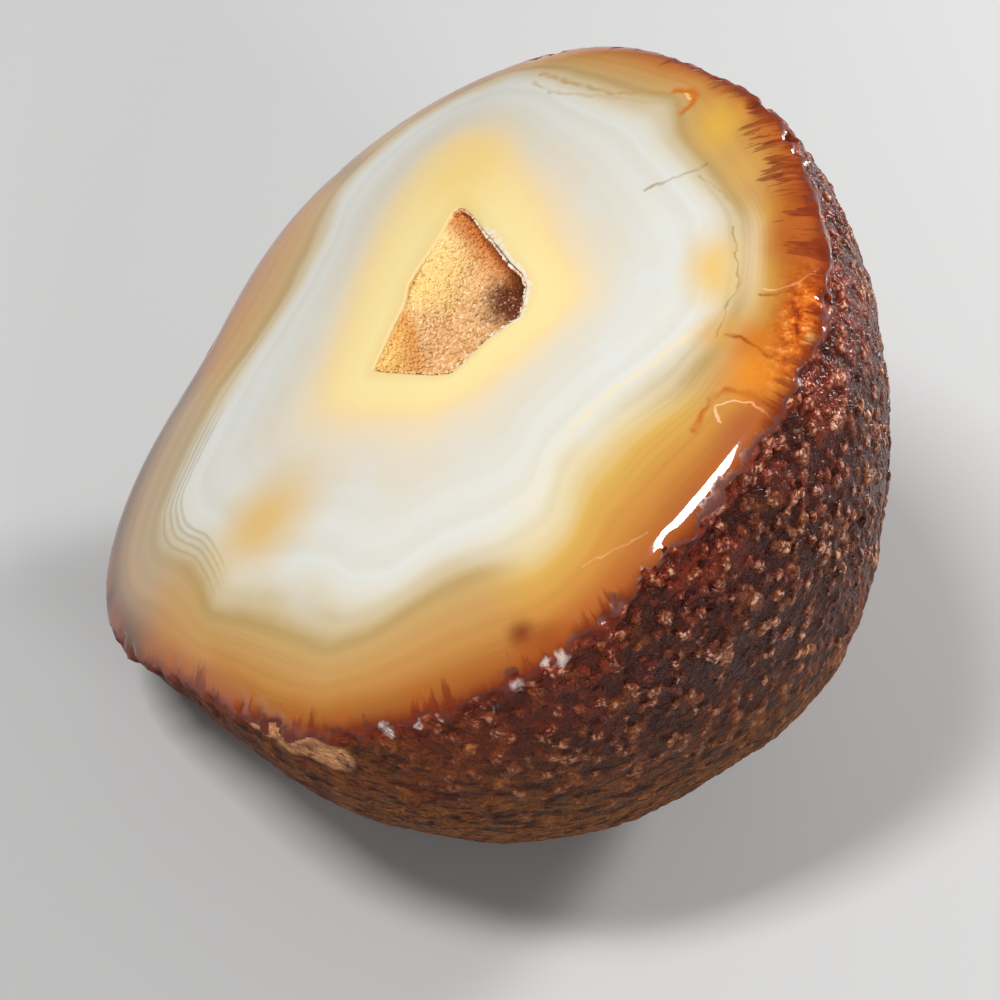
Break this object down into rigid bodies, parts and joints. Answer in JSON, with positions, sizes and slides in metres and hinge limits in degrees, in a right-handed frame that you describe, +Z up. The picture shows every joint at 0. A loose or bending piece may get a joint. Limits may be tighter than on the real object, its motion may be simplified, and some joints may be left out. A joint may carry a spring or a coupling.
{
  "type": "brazilian agate",
  "caption": "Natural agate nodule with a polished, slightly domed and tilted face, a rough brown rind and a small druse-lined pocket, resting on a small flat spot.",
  "frame": {"origin": "middle of the stone's box on X and Y, on the surface it rests on", "axes": "+Z up, +Y along the stone's greatest length, the polished face leaning down toward -X"},
  "size_m": [0.0622, 0.0676, 0.0506],
  "materials": {
    "agate": "polished banded face, waxy brown rind",
    "druse": "fine glittering quartz crystals"
  },
  "bodies": {
    "root": {"agate_nodule": "agate", "druse_crust": "druse"}
  },
  "joints": []
}
